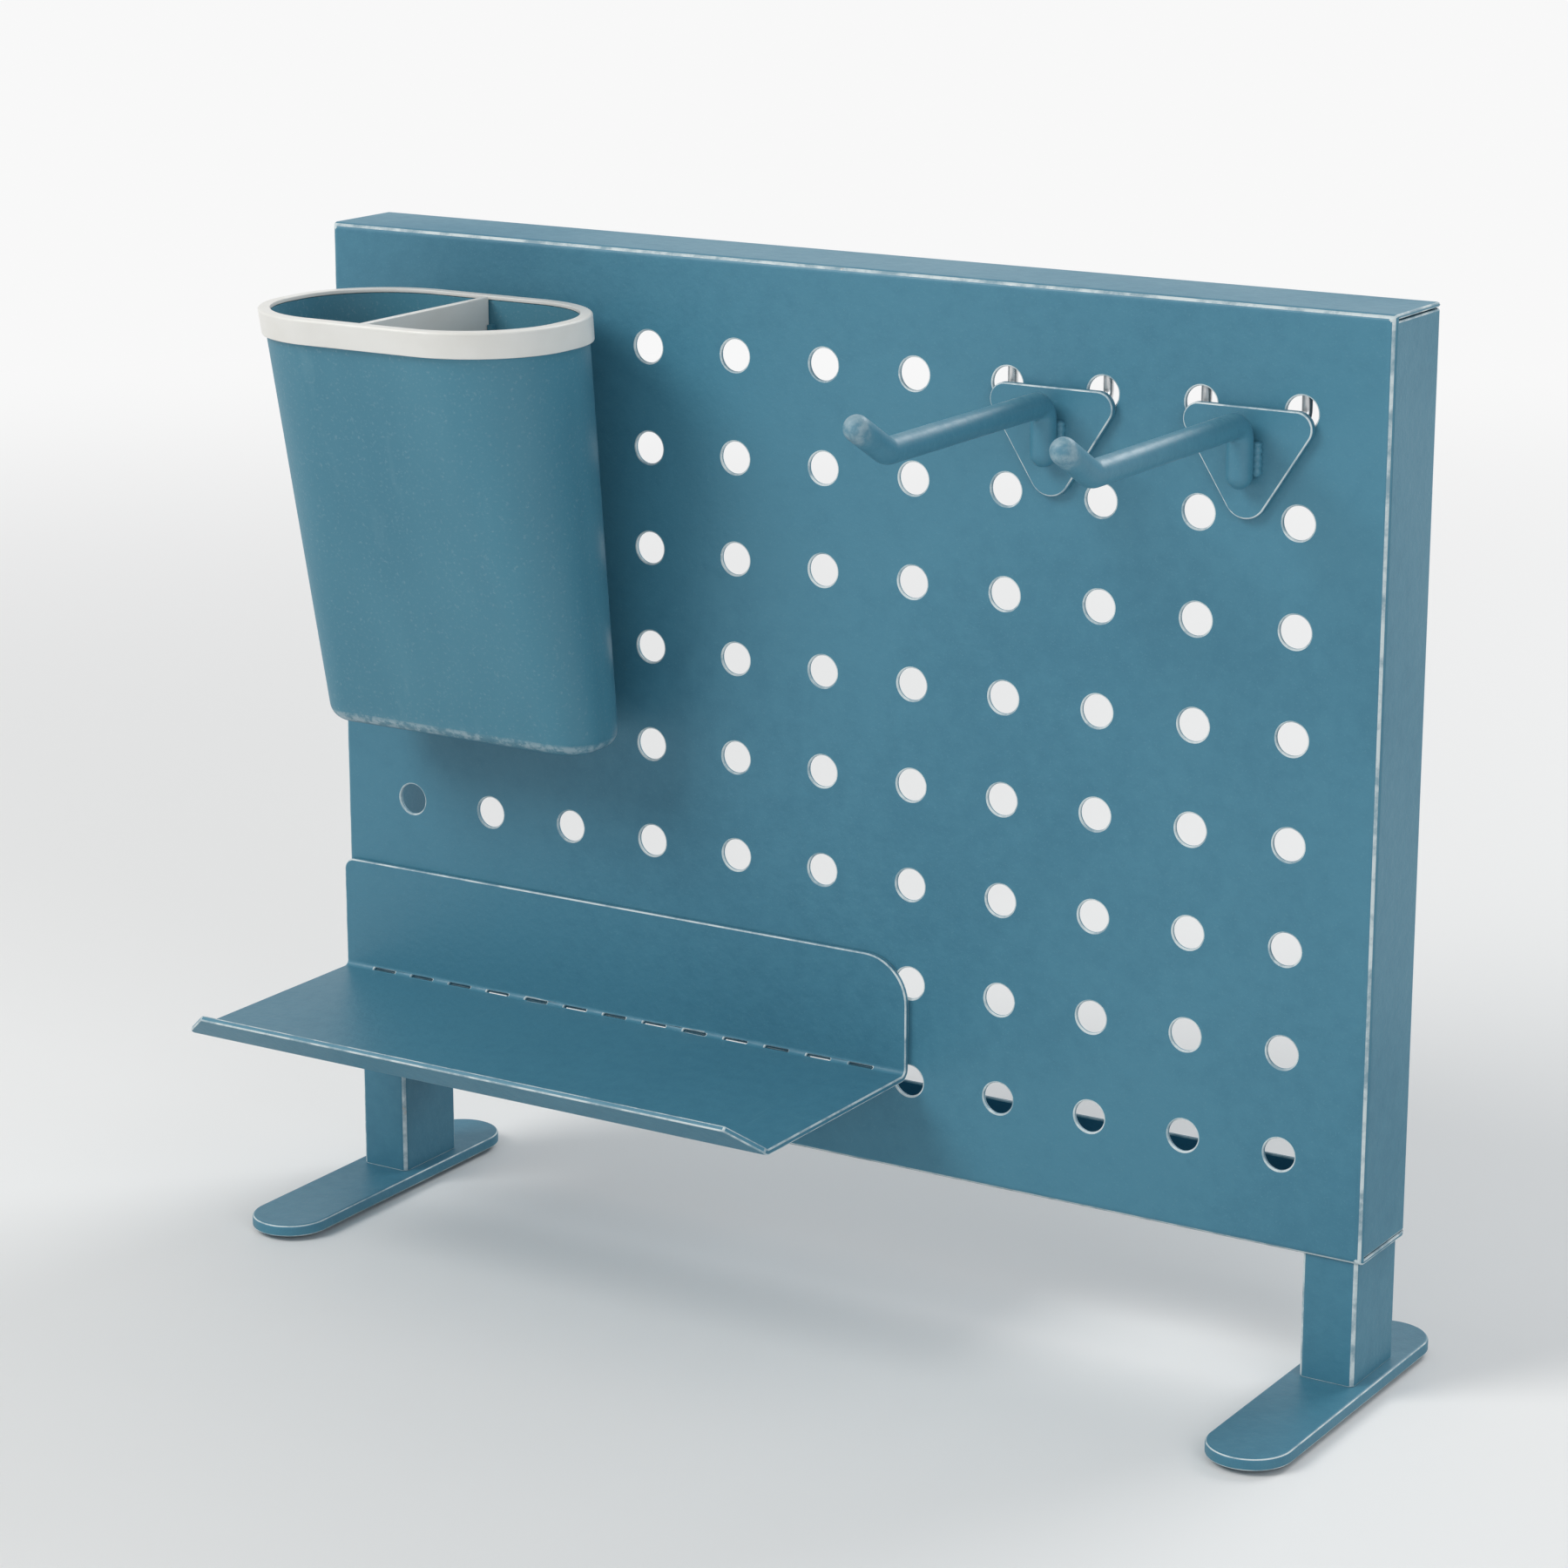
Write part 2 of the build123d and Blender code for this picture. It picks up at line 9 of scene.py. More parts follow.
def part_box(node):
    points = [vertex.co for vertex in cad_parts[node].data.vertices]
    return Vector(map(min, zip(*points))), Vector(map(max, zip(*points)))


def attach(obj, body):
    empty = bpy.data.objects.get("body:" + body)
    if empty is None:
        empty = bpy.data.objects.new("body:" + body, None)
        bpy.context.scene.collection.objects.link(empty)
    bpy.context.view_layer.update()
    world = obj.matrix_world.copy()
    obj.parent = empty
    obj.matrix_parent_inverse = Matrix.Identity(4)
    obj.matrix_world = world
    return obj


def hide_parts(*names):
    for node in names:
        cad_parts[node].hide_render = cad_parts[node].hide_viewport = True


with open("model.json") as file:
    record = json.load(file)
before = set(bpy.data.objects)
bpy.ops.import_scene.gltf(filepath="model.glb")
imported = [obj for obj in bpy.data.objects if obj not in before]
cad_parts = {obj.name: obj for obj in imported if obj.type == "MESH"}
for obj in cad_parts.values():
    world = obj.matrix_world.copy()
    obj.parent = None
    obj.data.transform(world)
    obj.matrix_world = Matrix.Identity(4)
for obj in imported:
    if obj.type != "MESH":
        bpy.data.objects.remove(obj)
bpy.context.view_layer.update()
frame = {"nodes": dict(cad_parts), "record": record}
nodes = frame["nodes"]
bodies = frame["record"]["behaviour"]["bodies"]
bodyOf = {node: body for body, members in bodies.items() for node in members}
scene = bpy.context.scene
sides = ("left", "right")
mergeGap = 2e-6  # points closer than this, in metres, are one
edgeLayer = "edgeLine"  # face attribute that marks rounded edges for the materials
print("frame loaded:", len(nodes), "pieces")


# shader helpers; in the looks below a Grain is a noise's scale, detail, roughness and stretch,
# a Span is the range that a value is remapped from, and to if given, and a Bump is strength and distance
def opaque(color):
    return (*color, 1.0)


def startMaterial(name):
    mat = bpy.data.materials.new(name)
    mat.use_nodes = True
    tree = mat.node_tree
    shader = tree.nodes["Principled BSDF"]
    place = tree.nodes.new("ShaderNodeTexCoord").outputs["Object"]
    return mat, tree, shader, place


def noise(tree, place, scale, detail, rough=0.5, stretch=None):
    if stretch:
        mapping = tree.nodes.new("ShaderNodeMapping")
        mapping.inputs["Scale"].default_value = stretch
        tree.links.new(place, mapping.inputs["Vector"])
        place = mapping.outputs["Vector"]
    node = tree.nodes.new("ShaderNodeTexNoise")
    for key, number in (("Scale", scale), ("Detail", detail), ("Roughness", rough)):
        node.inputs[key].default_value = number
    tree.links.new(place, node.inputs["Vector"])
    return node.outputs["Fac"]


def remap(tree, value, low, high, toLow=0.0, toHigh=1.0):
    node = tree.nodes.new("ShaderNodeMapRange")
    node.interpolation_type = "SMOOTHSTEP"
    for key, number in (("From Min", low), ("From Max", high), ("To Min", toLow), ("To Max", toHigh)):
        node.inputs[key].default_value = number
    tree.links.new(value, node.inputs["Value"])
    return node.outputs["Result"]


def combine(tree, how, a, b):
    node = tree.nodes.new("ShaderNodeMath")
    node.operation = how
    for socket, value in zip(node.inputs, (a, b)):
        if isinstance(value, (int, float)):
            socket.default_value = value
        else:
            tree.links.new(value, socket)
    return node.outputs[0]


def times(tree, a, b):
    return combine(tree, "MULTIPLY", a, b)


def blendColor(tree, share, first, second):
    node = tree.nodes.new("ShaderNodeMix")
    node.data_type = "RGBA"
    tree.links.new(share, node.inputs[0])
    for socket, value in zip((node.inputs[6], node.inputs[7]), (first, second)):  # its two colour sockets
        if isinstance(value, tuple):
            socket.default_value = opaque(value)
        else:
            tree.links.new(value, socket)
    return node.outputs[2]


def bump(tree, height, strength, distance, under=None):
    node = tree.nodes.new("ShaderNodeBump")
    node.inputs["Strength"].default_value = strength
    node.inputs["Distance"].default_value = distance
    tree.links.new(height, node.inputs["Height"])
    if under:
        tree.links.new(under, node.inputs["Normal"])
    return node.outputs["Normal"]


def along(tree, kind, axis):
    split = tree.nodes.new("ShaderNodeSeparateXYZ")
    tree.links.new(tree.nodes["Texture Coordinate"].outputs[kind], split.inputs[0])
    return split.outputs[axis]


def edgeMask(tree):
    node = tree.nodes.new("ShaderNodeAttribute")
    node.attribute_name = edgeLayer
    return node.outputs["Fac"]


def wireShader(tree, shader, color, rough, normal):
    for key, value in (("Base Color", color), ("Roughness", rough), ("Normal", normal)):
        tree.links.new(value, shader.inputs[key])


# powder coat on the steel sheet, pale along rounded edges, hole rims and bends, partly where the coat runs
# thin and partly as a painted edge highlight, and chipped here and there
coatLook = {
    "teal": (0.057, 0.206, 0.292),
    "tealDeep": (0.043, 0.172, 0.253),
    "tealWorn": (0.130, 0.295, 0.372),
    "thin": (0.62, 0.70, 0.71),
    "steel": (0.46, 0.45, 0.43),
    "gloss": 0.45,
    "cloudGrain": (7.0, 4.0),
    "cloudShare": 0.7,
    "mottleGrain": (240.0, 3.0, 0.6),
    "mottleShare": 0.3,
    "shadeSpan": (0.38, 0.64),
    "roughSpan": (0.3, 0.7, 0.38, 0.54),
    "roughMottle": 0.06,
    "peelGrain": (560.0, 2.0),
    "peelBump": (0.36, 0.00026),
    "gritGrain": (2400.0, 1.0),
    "gritSpan": (0.62, 0.75, 0.0, 0.20),
    "gritBump": (0.22, 0.00009),
    "thinGrain": (150.0, 5.0, 0.65),
    "thinSpan": (0.33, 0.60, 0.30, 0.95),
    "chipGrain": (85.0, 6.0, 0.7),
    "chipSpan": (0.66, 0.71),
}
scratchLook = {
    "grain": (55.0, 4.0, 0.7),
    "stretches": ((0.6, 26.0, 1.0), (22.0, 0.5, 1.0)),
    "span": (0.66, 0.70),
    "upSpan": (0.75, 0.95),
    "share": 0.30,
}
rubLook = {
    "upSpan": (0.45, 0.95),
    "mottleSpan": (0.35, 0.62, 0.2, 1.0),
    "share": 0.45,
    "gloss": 0.30,
    "tipReach": (0.0060, 0.0015),
    "tipGrain": (420.0, 4.0, 0.6),
    "tipSpan": (0.36, 0.64, 0.06, 0.30),
}


def scratched(tree, place, color):  # fine scratches where a surface faces up
    streaks = [noise(tree, place, *scratchLook["grain"], stretch) for stretch in scratchLook["stretches"]]
    lines = combine(tree, "MAXIMUM", *[remap(tree, streak, *scratchLook["span"]) for streak in streaks])
    facingUp = remap(tree, along(tree, "Normal", "Z"), *scratchLook["upSpan"])
    share = times(tree, times(tree, lines, facingUp), scratchLook["share"])
    return blendColor(tree, share, color, coatLook["tealWorn"])


def rubbedBare(tree, place, color, rough, mottle):  # polished where things hang, thin round the tip
    facingUp = remap(tree, along(tree, "Normal", "Z"), *rubLook["upSpan"])
    polish = times(tree, facingUp, remap(tree, mottle, *rubLook["mottleSpan"]))
    polish = times(tree, polish, rubLook["share"])
    color = blendColor(tree, polish, color, coatLook["tealWorn"])
    rough = combine(tree, "SUBTRACT", rough, times(tree, polish, rubLook["gloss"]))
    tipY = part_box("left_hook_rod")[0].y
    tip = remap(tree, along(tree, "Object", "Y"), *[tipY + reach for reach in rubLook["tipReach"]])
    tip = times(tree, tip, remap(tree, noise(tree, place, *rubLook["tipGrain"]), *rubLook["tipSpan"]))
    return blendColor(tree, tip, color, coatLook["thin"]), rough


def coatMaterial(name, rubbed):
    mat, tree, shader, place = startMaterial(name)
    cloud = noise(tree, place, *coatLook["cloudGrain"])
    mottle = noise(tree, place, *coatLook["mottleGrain"])
    grit = noise(tree, place, *coatLook["gritGrain"])
    peel = noise(tree, place, *coatLook["peelGrain"])
    shade = combine(tree, "ADD", times(tree, cloud, coatLook["cloudShare"]),
                    times(tree, mottle, coatLook["mottleShare"]))
    shade = remap(tree, shade, *coatLook["shadeSpan"])
    color = blendColor(tree, shade, coatLook["teal"], coatLook["tealDeep"])
    color = blendColor(tree, remap(tree, grit, *coatLook["gritSpan"]), color, coatLook["tealWorn"])
    color = scratched(tree, place, color)
    rough = combine(tree, "ADD", remap(tree, cloud, *coatLook["roughSpan"]),
                    times(tree, mottle, coatLook["roughMottle"]))
    if rubbed:
        color, rough = rubbedBare(tree, place, color, rough, mottle)
    edge = edgeMask(tree)
    # pale colour on the marked edges and bends: partly the coat worn thin, partly a painted edge highlight
    thin = remap(tree, noise(tree, place, *coatLook["thinGrain"]), *coatLook["thinSpan"])
    color = blendColor(tree, times(tree, edge, thin), color, coatLook["thin"])
    chip = remap(tree, noise(tree, place, *coatLook["chipGrain"]), *coatLook["chipSpan"])
    chip = times(tree, edge, chip)
    color = blendColor(tree, chip, color, coatLook["steel"])
    skin = bump(tree, peel, *coatLook["peelBump"])
    wireShader(tree, shader, color, rough, bump(tree, grit, *coatLook["gritBump"], skin))
    tree.links.new(chip, shader.inputs["Metallic"])
    shader.inputs["Specular IOR Level"].default_value = coatLook["gloss"]
    return mat


# cup plastic, moulded matt
cupLook = {
    "teal": (0.066, 0.222, 0.302),
    "tealDark": (0.052, 0.190, 0.268),
    "rubbed": (0.17, 0.33, 0.40),
    "scuffed": (0.50, 0.60, 0.63),
    "gloss": 0.42,
    "flowGrain": (16.0, 4.0, 0.55, (1.0, 1.0, 0.22)),
    "flowSpan": (0.34, 0.68),
    "roughSpan": (0.3, 0.7, 0.44, 0.58),
    "sparkGrain": (1300.0, 3.0, 0.6),
    "sparkSpan": (0.55, 0.75, 0.0, 0.14),
    "sparkBump": (0.40, 0.00018),
    "rubGrain": (70.0, 4.0, 0.62, (1.0, 1.0, 0.12)),
    "rubSpan": (0.60, 0.72, 0.0, 0.16),
    "footReach": (0.0065, 0.0015),
    "footFloorSpan": (-0.90, -0.74),
    "footWallSpan": (-0.26, -0.46),
    "scuffGrain": (340.0, 6.0, 0.7),
    "scuffSpan": (0.42, 0.58, 0.10, 0.62),
}


def footScuff(tree, place):  # where the wall turns under into the floor
    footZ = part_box("cup_body")[0].z
    low = remap(tree, along(tree, "Object", "Z"), *[footZ + reach for reach in cupLook["footReach"]])
    tilt = along(tree, "Normal", "Z")
    offFloor = remap(tree, tilt, *cupLook["footFloorSpan"])
    offWall = remap(tree, tilt, *cupLook["footWallSpan"])
    turn = times(tree, offFloor, offWall)
    patch = remap(tree, noise(tree, place, *cupLook["scuffGrain"]), *cupLook["scuffSpan"])
    return times(tree, times(tree, turn, low), patch)


def cupMaterial():
    mat, tree, shader, place = startMaterial("tealMouldedPlastic")
    flow = noise(tree, place, *cupLook["flowGrain"])
    spark = noise(tree, place, *cupLook["sparkGrain"])
    rub = remap(tree, noise(tree, place, *cupLook["rubGrain"]), *cupLook["rubSpan"])
    color = blendColor(tree, remap(tree, flow, *cupLook["flowSpan"]), cupLook["teal"], cupLook["tealDark"])
    color = blendColor(tree, remap(tree, spark, *cupLook["sparkSpan"]), color, cupLook["scuffed"])
    color = blendColor(tree, rub, color, cupLook["rubbed"])
    color = blendColor(tree, footScuff(tree, place), color, cupLook["scuffed"])
    rough = remap(tree, flow, *cupLook["roughSpan"])
    wireShader(tree, shader, color, rough, bump(tree, spark, *cupLook["sparkBump"]))
    shader.inputs["Specular IOR Level"].default_value = cupLook["gloss"]
    return mat


# off-white moulded trim: the cup's rim and divider
trimLook = {
    "cream": (0.76, 0.755, 0.725),
    "shade": (0.69, 0.68, 0.64),
    "grime": (0.46, 0.44, 0.40),
    "cloudGrain": (30.0, 4.0, 0.55),
    "cloudSpan": (0.36, 0.70),
    "roughSpan": (0.3, 0.7, 0.30, 0.42),
    "grimeGrain": (120.0, 4.0),
    "grimeSpan": (0.45, 0.7, 0.0, 0.35),
    "fineGrain": (1900.0, 2.0),
    "fineBump": (0.10, 0.00008),
}


def trimMaterial():
    mat, tree, shader, place = startMaterial("creamMouldedTrim")
    cloud = noise(tree, place, *trimLook["cloudGrain"])
    fine = noise(tree, place, *trimLook["fineGrain"])
    color = blendColor(tree, remap(tree, cloud, *trimLook["cloudSpan"]), trimLook["cream"], trimLook["shade"])
    grime = remap(tree, noise(tree, place, *trimLook["grimeGrain"]), *trimLook["grimeSpan"])
    color = blendColor(tree, times(tree, edgeMask(tree), grime), color, trimLook["grime"])
    rough = remap(tree, cloud, *trimLook["roughSpan"])
    wireShader(tree, shader, color, rough, bump(tree, fine, *trimLook["fineBump"]))
    return mat


# zinc plate on screws, nuts, rivets, tabs and prongs
zincLook = {
    "bright": (0.66, 0.67, 0.67),
    "dull": (0.44, 0.45, 0.46),
    "dullGrain": (130.0, 4.0, 0.6),
    "dullSpan": (0.36, 0.68),
    "roughSpan": (0.3, 0.7, 0.24, 0.44),
    "spangleGrain": (420.0, 3.0, 0.6),
    "spangleBump": (0.12, 0.0001),
}


def zincMaterial():
    mat, tree, shader, place = startMaterial("zincPlate")
    spangle = noise(tree, place, *zincLook["spangleGrain"])
    dull = noise(tree, place, *zincLook["dullGrain"])
    color = blendColor(tree, remap(tree, dull, *zincLook["dullSpan"]), zincLook["bright"], zincLook["dull"])
    rough = remap(tree, dull, *zincLook["roughSpan"])
    wireShader(tree, shader, color, rough, bump(tree, spangle, *zincLook["spangleBump"]))
    shader.inputs["Metallic"].default_value = 1.0
    return mat


# charcoal caps and plugs, black rubber pads and studs
darkLook = {
    "gloss": 0.35,
    "cloudGrain": (90.0, 4.0, 0.6),
    "cloudSpan": (0.35, 0.7),
    "fineGrain": (1700.0, 3.0, 0.6),
    "fineBump": (0.25, 0.00012),
    "charcoal": ((0.045, 0.046, 0.050), (0.062, 0.063, 0.068)),
    "charcoalRoughSpan": (0.3, 0.7, 0.44, 0.58),
    "rubber": ((0.022, 0.022, 0.023), (0.036, 0.036, 0.037)),
    "rubberRoughSpan": (0.3, 0.7, 0.68, 0.82),
}


def darkMaterial(name, kind):
    mat, tree, shader, place = startMaterial(name)
    cloud = noise(tree, place, *darkLook["cloudGrain"])
    fine = noise(tree, place, *darkLook["fineGrain"])
    color = blendColor(tree, remap(tree, cloud, *darkLook["cloudSpan"]), *darkLook[kind])
    rough = remap(tree, cloud, *darkLook[kind + "RoughSpan"])
    wireShader(tree, shader, color, rough, bump(tree, fine, *darkLook["fineBump"]))
    shader.inputs["Specular IOR Level"].default_value = darkLook["gloss"]
    return mat


finish = {
    "coated_steel": coatMaterial("tealPowderCoat", False),
    "cup_plastic": cupMaterial(),
    "trim_plastic": trimMaterial(),
    "zinc_steel": zincMaterial(),
    "dark_plastic": darkMaterial("charcoalPlastic", "charcoal"),
    "rubber": darkMaterial("blackRubber", "rubber"),
}
rodCoat = coatMaterial("tealRodCoat", True)
slotEnds = {  # by the end of a node's name
    "cup_body": "cup_plastic",
    "cup_rim": "trim_plastic",
    "cup_divider": "trim_plastic",
    "cup_rivets": "zinc_steel",
    "cup_bumpers": "rubber",
    "_tabs": "zinc_steel",
    "_prongs": "zinc_steel",
    "_nuts": "zinc_steel",
    "_screws": "zinc_steel",
    "_post_cap": "dark_plastic",
    "_post_plug": "dark_plastic",
    "_pads": "rubber",
}


def slotFor(node):  # what isn't listed is coated steel
    return next((slot for end, slot in slotEnds.items() if node.endswith(end)), "coated_steel")


for name, piece in nodes.items():
    piece.data.materials.clear()
    piece.data.materials.append(rodCoat if name.endswith("_hook_rod") else finish[slotFor(name)])
print("finishes:", len(finish) + 1)


# mesh helpers
def smoothFaces(bm, crease):
    for face in bm.faces:
        face.smooth = True
    for edge in bm.edges:
        edge.smooth = edge.calc_face_angle(0.0) < math.radians(crease)


def makePiece(bm, name, body, slot):
    mesh = bpy.data.meshes.new(name)
    bm.to_mesh(mesh)
    bm.free()
    mesh.materials.append(finish[slot])
    piece = bpy.data.objects.new(name, mesh)
    scene.collection.objects.link(piece)
    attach(piece, body)
    return piece


# sheet edges and hole rims are rounded over, and marked so that the coat can run thin there and take a pale
# painted edge highlight;
# where fold is given, so are bends and rolled edges whose normal leans along that axis within the span
softAngles = {"flat": 0.3, "sharp": 32.0, "crease": 40.0}  # degrees
softEdges = {
    "pegboard_panel": {"radius": 0.00042, "steps": 2, "fold": "y", "span": (0.52, 0.86)},
    "shelf_tray": {"radius": 0.00036, "steps": 3},
    "cup_hanger": {"radius": 0.00030, "steps": 2},
    "cup_cleat": {"radius": 0.00030, "steps": 2},
    "cup_divider": {"radius": 0.00040, "steps": 3},
    "cup_rim": {"radius": 0.00025, "steps": 2},
}
pairedEdges = {
    "hook_plate": {"radius": 0.00030, "steps": 2, "fold": "y", "span": (0.10, 0.985)},
    "foot": {"radius": 0.00030, "steps": 2, "fold": "z", "span": (0.52, 0.86)},
    "post": {"radius": 0.00025, "steps": 2, "fold": "x", "span": (0.45, 0.89)},
}
for name, look in pairedEdges.items():
    for side in sides:
        softEdges[f"{side}_{name}"] = look


def foldShare(normal, look):
    if "fold" not in look:
        return 0.0
    low, high = look["span"]
    return 1.0 if low < abs(getattr(normal, look["fold"])) < high else 0.0


def softCopy(node, look):
    bm = bmesh.new()
    bm.from_mesh(nodes[node].data)
    bmesh.ops.remove_doubles(bm, verts=bm.verts, dist=mergeGap)
    bmesh.ops.dissolve_limit(bm, angle_limit=math.radians(softAngles["flat"]), use_dissolve_boundaries=False,
                             verts=bm.verts, edges=bm.edges)
    line = bm.faces.layers.float.new(edgeLayer)
    for face in bm.faces:
        face[line] = foldShare(face.normal, look)
    limit = math.radians(softAngles["sharp"])
    sharp = [e for e in bm.edges if e.is_manifold and e.is_convex and e.calc_face_angle() > limit]
    made = bmesh.ops.bevel(bm, geom=sharp, offset=look["radius"], offset_type="OFFSET", affect="EDGES",
                           segments=look["steps"], profile=0.5, material=-1, clamp_overlap=False)
    for face in made["faces"]:
        face[line] = 1.0
    bmesh.ops.dissolve_degenerate(bm, dist=mergeGap, edges=bm.edges)
    smoothFaces(bm, softAngles["crease"])
    piece = makePiece(bm, node + "_soft", bodyOf[node], slotFor(node))
    piece.modifiers.new("flatFaces", "WEIGHTED_NORMAL").keep_sharp = True
    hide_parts(node)


for name, look in softEdges.items():
    softCopy(name, look)
print("rounded edges on", len(softEdges), "pieces")


# weld beads down both sides of each hook's rod
beadLook = {
    "radius": 0.0013,
    "swell": (0.84, 1.0, 1.08, 0.98),
    "tipShare": 0.4,
    "pitch": 0.0018,
    "sides": 12,
    "crease": 180.0,  # smooth all over
    "out": 0.0029,
    "sink": 0.0004,
    "fromEnd": 0.0027,
    "toBend": 0.0076,
}


def weldBead(name, body, bottom, top):
    radius, swell = beadLook["radius"], beadLook["swell"]
    tipRadius = radius * beadLook["tipShare"]
    count = len(swell) * round((top - bottom).length / beadLook["pitch"])
    step = (top - bottom) / count
    bm = bmesh.new()
    ring = bmesh.ops.create_circle(bm, segments=beadLook["sides"], radius=tipRadius, cap_ends=True)["verts"]
    bmesh.ops.translate(bm, verts=ring, vec=bottom)
    edges = list(bm.edges)
    for row in range(count):
        grown = bmesh.ops.extrude_edge_only(bm, edges=edges)["geom"]
        ring = [v for v in grown if isinstance(v, bmesh.types.BMVert)]
        edges = [e for e in grown if isinstance(e, bmesh.types.BMEdge)]
        middle = bottom + step * row
        size = tipRadius if row == count - 1 else radius * swell[row % len(swell)]
        share = size / (ring[0].co - middle).length
        bmesh.ops.scale(bm, verts=ring, vec=(share, share, share), space=Matrix.Translation(-middle))
        bmesh.ops.translate(bm, verts=ring, vec=step)
    bmesh.ops.contextual_create(bm, geom=edges)
    bmesh.ops.remove_doubles(bm, verts=bm.verts, dist=mergeGap)
    bmesh.ops.recalc_face_normals(bm, faces=bm.faces)
    smoothFaces(bm, beadLook["crease"])
    makePiece(bm, name, body, "coated_steel")


def hookWelds(side):
    plateLow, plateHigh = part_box(f"{side}_hook_plate")
    rodLow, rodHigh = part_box(f"{side}_hook_rod")
    midX = (rodLow.x + rodHigh.x) / 2
    seamY = plateLow.y - beadLook["sink"]
    for way, mark in ((-1, "a"), (1, "b")):
        x = midX + way * beadLook["out"]
        bottom = Vector((x, seamY, rodLow.z + beadLook["fromEnd"]))
        top = Vector((x, seamY, plateHigh.z - beadLook["toBend"]))
        weldBead(f"{side}_hook_weld_{mark}", f"{side}_hook", bottom, top)


for side in sides:
    hookWelds(side)
print("hook welds laid")


# rubber pads under the feet, grooved so that they grip; the section is in shares of radius and thickness
padLook = {
    "section": (
        (0.0, 0.0), (0.33, 0.0), (0.37, 0.30), (0.45, 0.30), (0.49, 0.0),
        (0.63, 0.0), (0.67, 0.30), (0.75, 0.30), (0.79, 0.0), (0.92, 0.0),
        (0.98, 0.10), (1.0, 0.28), (1.0, 0.84), (0.96, 1.0), (0.0, 1.0),
    ),
    "steps": 40,
    "crease": 30.0,
}


def groovedPads(side):
    node = f"{side}_foot_pads"
    low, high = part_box(node)
    radius, thick, midX = (high.x - low.x) / 2, high.z - low.z, (low.x + high.x) / 2
    bm = bmesh.new()
    for midY in (low.y + radius, high.y - radius):
        places = [(midX + out * radius, midY, low.z + up * thick) for out, up in padLook["section"]]
        row = [bm.verts.new(place) for place in places]
        line = [bm.edges.new(pair) for pair in zip(row, row[1:])]
        bmesh.ops.spin(bm, geom=row + line, cent=(midX, midY, 0.0), axis=(0.0, 0.0, 1.0), angle=math.tau,
                       steps=padLook["steps"], use_merge=True)
    bmesh.ops.remove_doubles(bm, verts=bm.verts, dist=mergeGap)
    bmesh.ops.recalc_face_normals(bm, faces=bm.faces)
    smoothFaces(bm, padLook["crease"])
    pads = makePiece(bm, node + "_grooved", bodyOf[node], "rubber")
    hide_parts(node)


for side in sides:
    groovedPads(side)
print("foot pads grooved")


# floor, light and camera
stageLook = {
    "floor": (0.86, 0.86, 0.855),
    "floorRough": 0.75,
    "floorGloss": 0.2,
    "floorSize": 12.0,
    "fadeSpan": (0.34, 1.5),
    "back": (0.94, 0.94, 0.94),
    "sky": (0.90, 0.93, 0.96),
    "skyStrength": 0.42,
}


def mixSurface(tree, share, first, second, output):
    mix = tree.nodes.new("ShaderNodeMixShader")
    for socket, value in zip(mix.inputs, (share, first, second)):
        tree.links.new(value, socket)
    tree.links.new(mix.outputs[0], tree.nodes[output].inputs["Surface"])


def stageFloor():
    bm = bmesh.new()
    bmesh.ops.create_grid(bm, x_segments=2, y_segments=2, size=stageLook["floorSize"])
    mesh = bpy.data.meshes.new("floor")
    bm.to_mesh(mesh)
    bm.free()
    floor = bpy.data.objects.new("floor", mesh)
    scene.collection.objects.link(floor)
    mat, tree, shader, place = startMaterial("paleFloor")
    shader.inputs["Base Color"].default_value = opaque(stageLook["floor"])
    shader.inputs["Roughness"].default_value = stageLook["floorRough"]
    shader.inputs["Specular IOR Level"].default_value = stageLook["floorGloss"]
    glow = tree.nodes.new("ShaderNodeEmission")
    glow.inputs["Color"].default_value = opaque(stageLook["back"])
    far = tree.nodes.new("ShaderNodeVectorMath")
    far.operation = "LENGTH"
    tree.links.new(place, far.inputs[0])
    share = remap(tree, far.outputs["Value"], *stageLook["fadeSpan"])
    mixSurface(tree, share, shader.outputs[0], glow.outputs[0], "Material Output")
    mesh.materials.append(mat)


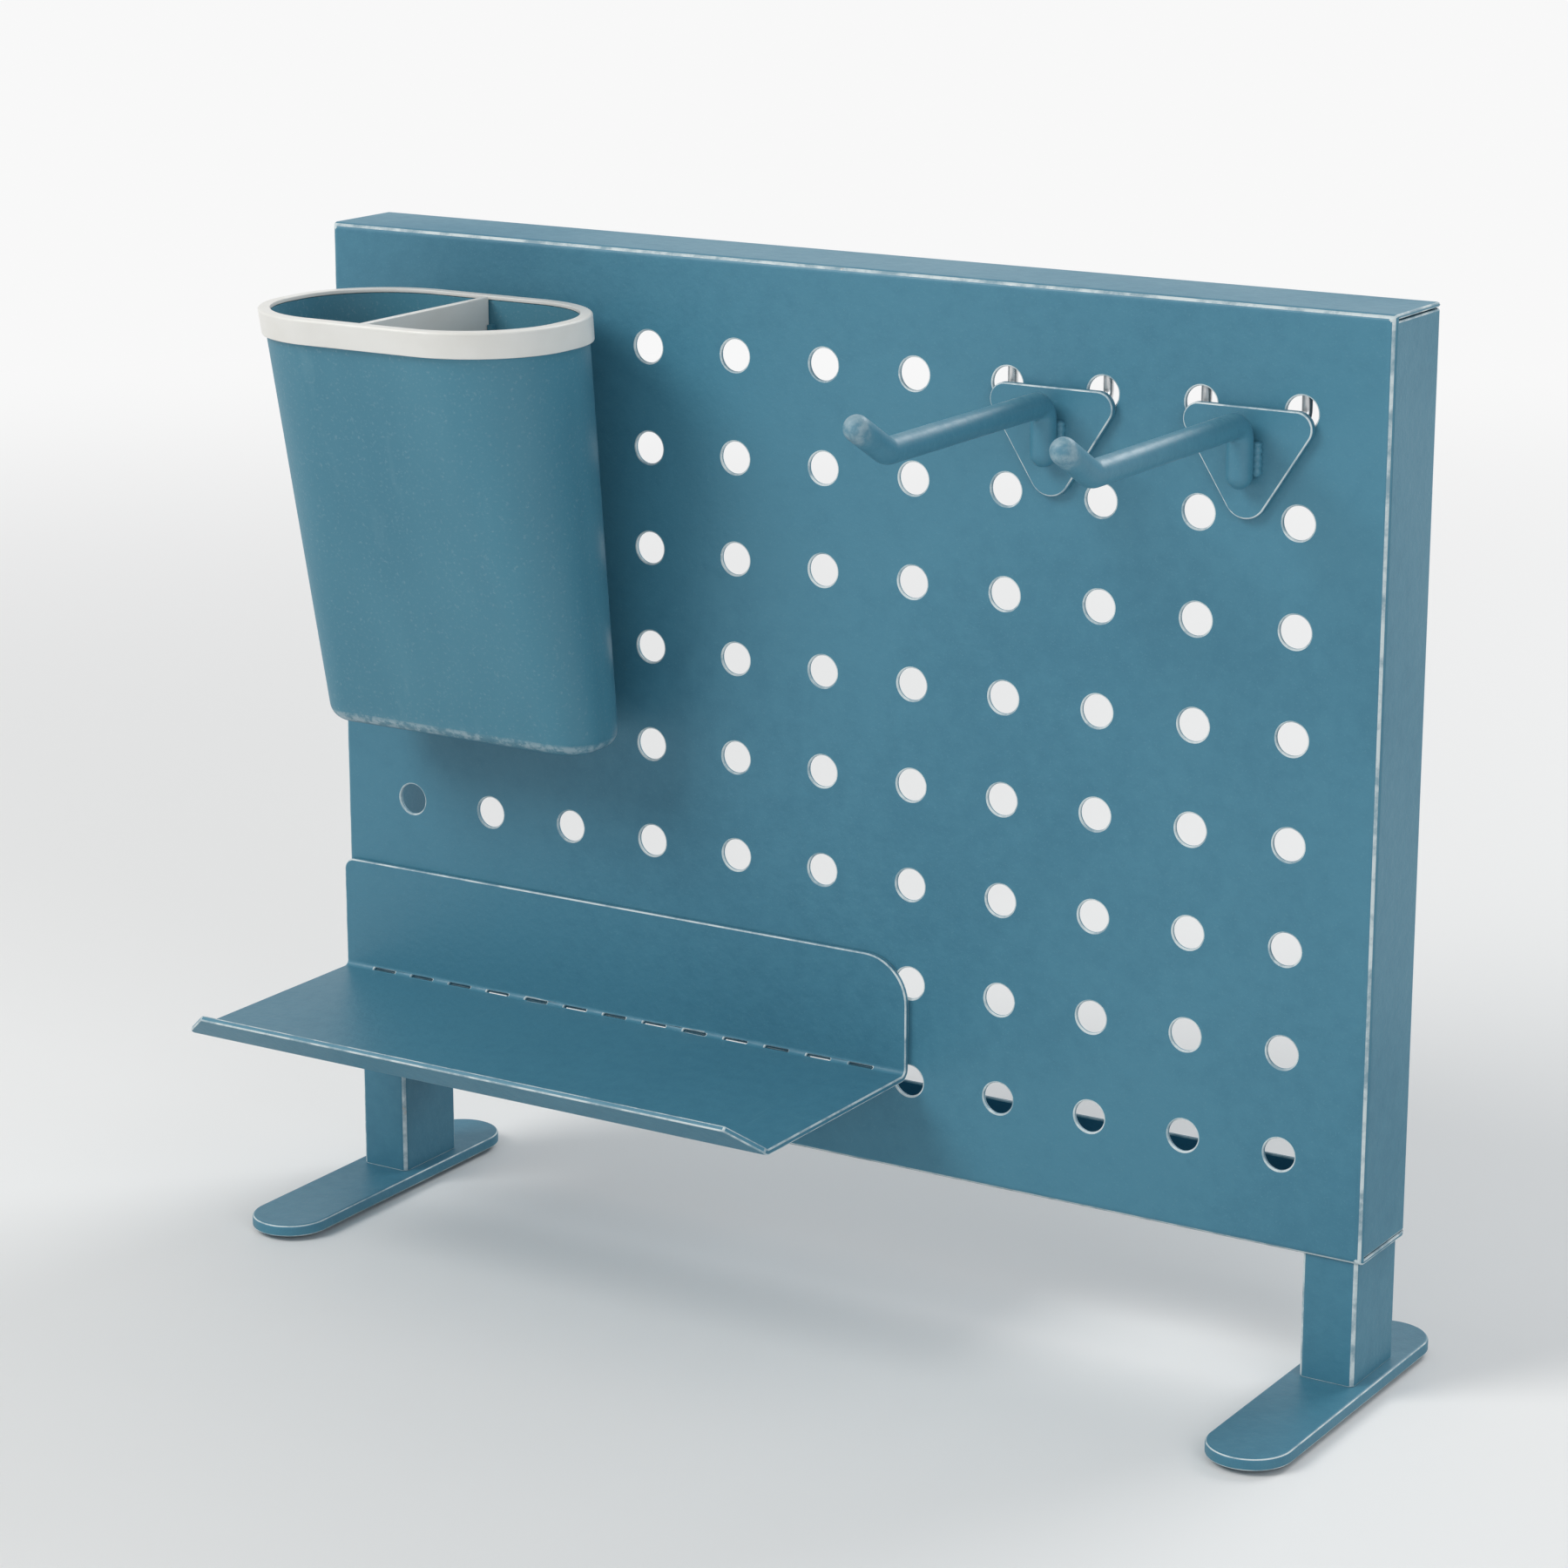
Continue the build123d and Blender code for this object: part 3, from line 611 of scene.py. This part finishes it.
def studioWorld():
    world = bpy.data.worlds.new("studio")
    scene.world = world
    world.use_nodes = True
    tree = world.node_tree
    soft = tree.nodes["Background"]
    soft.inputs["Color"].default_value = opaque(stageLook["sky"])
    soft.inputs["Strength"].default_value = stageLook["skyStrength"]
    shown = tree.nodes.new("ShaderNodeBackground")
    shown.inputs["Color"].default_value = opaque(stageLook["back"])
    ray = tree.nodes.new("ShaderNodeLightPath")
    either = combine(tree, "MAXIMUM", ray.outputs["Is Camera Ray"], ray.outputs["Is Glossy Ray"])
    either = combine(tree, "MAXIMUM", either, ray.outputs["Is Transmission Ray"])
    mixSurface(tree, either, soft.outputs[0], shown.outputs[0], "World Output")


lampAim = (0.0, 0.0, 0.13)
lamps = {
    "keyLamp": {"at": (-0.75, -1.05, 1.25), "size": 0.85, "power": 15.0, "color": (1.0, 0.98, 0.95)},
    "fillLamp": {"at": (1.30, -0.85, 0.75), "size": 1.10, "power": 6.0, "color": (0.96, 0.98, 1.0)},
    "backLamp": {"at": (0.35, 1.15, 1.05), "size": 0.80, "power": 8.0, "color": (1.0, 1.0, 1.0)},
}


def studioLamps():
    for name, look in lamps.items():
        light = bpy.data.lights.new(name, "AREA")
        light.shape = "DISK"
        light.size = look["size"]
        light.energy = look["power"]
        light.color = look["color"]
        lamp = bpy.data.objects.new(name, light)
        lamp.location = look["at"]
        lamp.rotation_euler = (Vector(lampAim) - lamp.location).to_track_quat("-Z", "Y").to_euler()
        scene.collection.objects.link(lamp)


cameraLook = {
    "azimuth": 32.0,
    "elevation": 15.0,
    "distance": 1.05,
    "aim": (-0.004, 0.0116, 0.135),
    "lens": 98.0,
    "clip": (0.05, 60.0),
}


def photoCamera():
    turn, rise = math.radians(cameraLook["azimuth"]), math.radians(cameraLook["elevation"])
    back = Vector((math.sin(turn) * math.cos(rise), -math.cos(turn) * math.cos(rise), math.sin(rise)))
    lens = bpy.data.cameras.new("photoCamera")
    lens.lens = cameraLook["lens"]
    lens.clip_start, lens.clip_end = cameraLook["clip"]
    camera = bpy.data.objects.new("photoCamera", lens)
    camera.location = Vector(cameraLook["aim"]) + back * cameraLook["distance"]
    camera.rotation_euler = (-back).to_track_quat("-Z", "Y").to_euler()
    scene.collection.objects.link(camera)
    scene.camera = camera


stageFloor()
studioWorld()
studioLamps()
photoCamera()
scene.view_settings.view_transform = "Standard"
print("stage set")
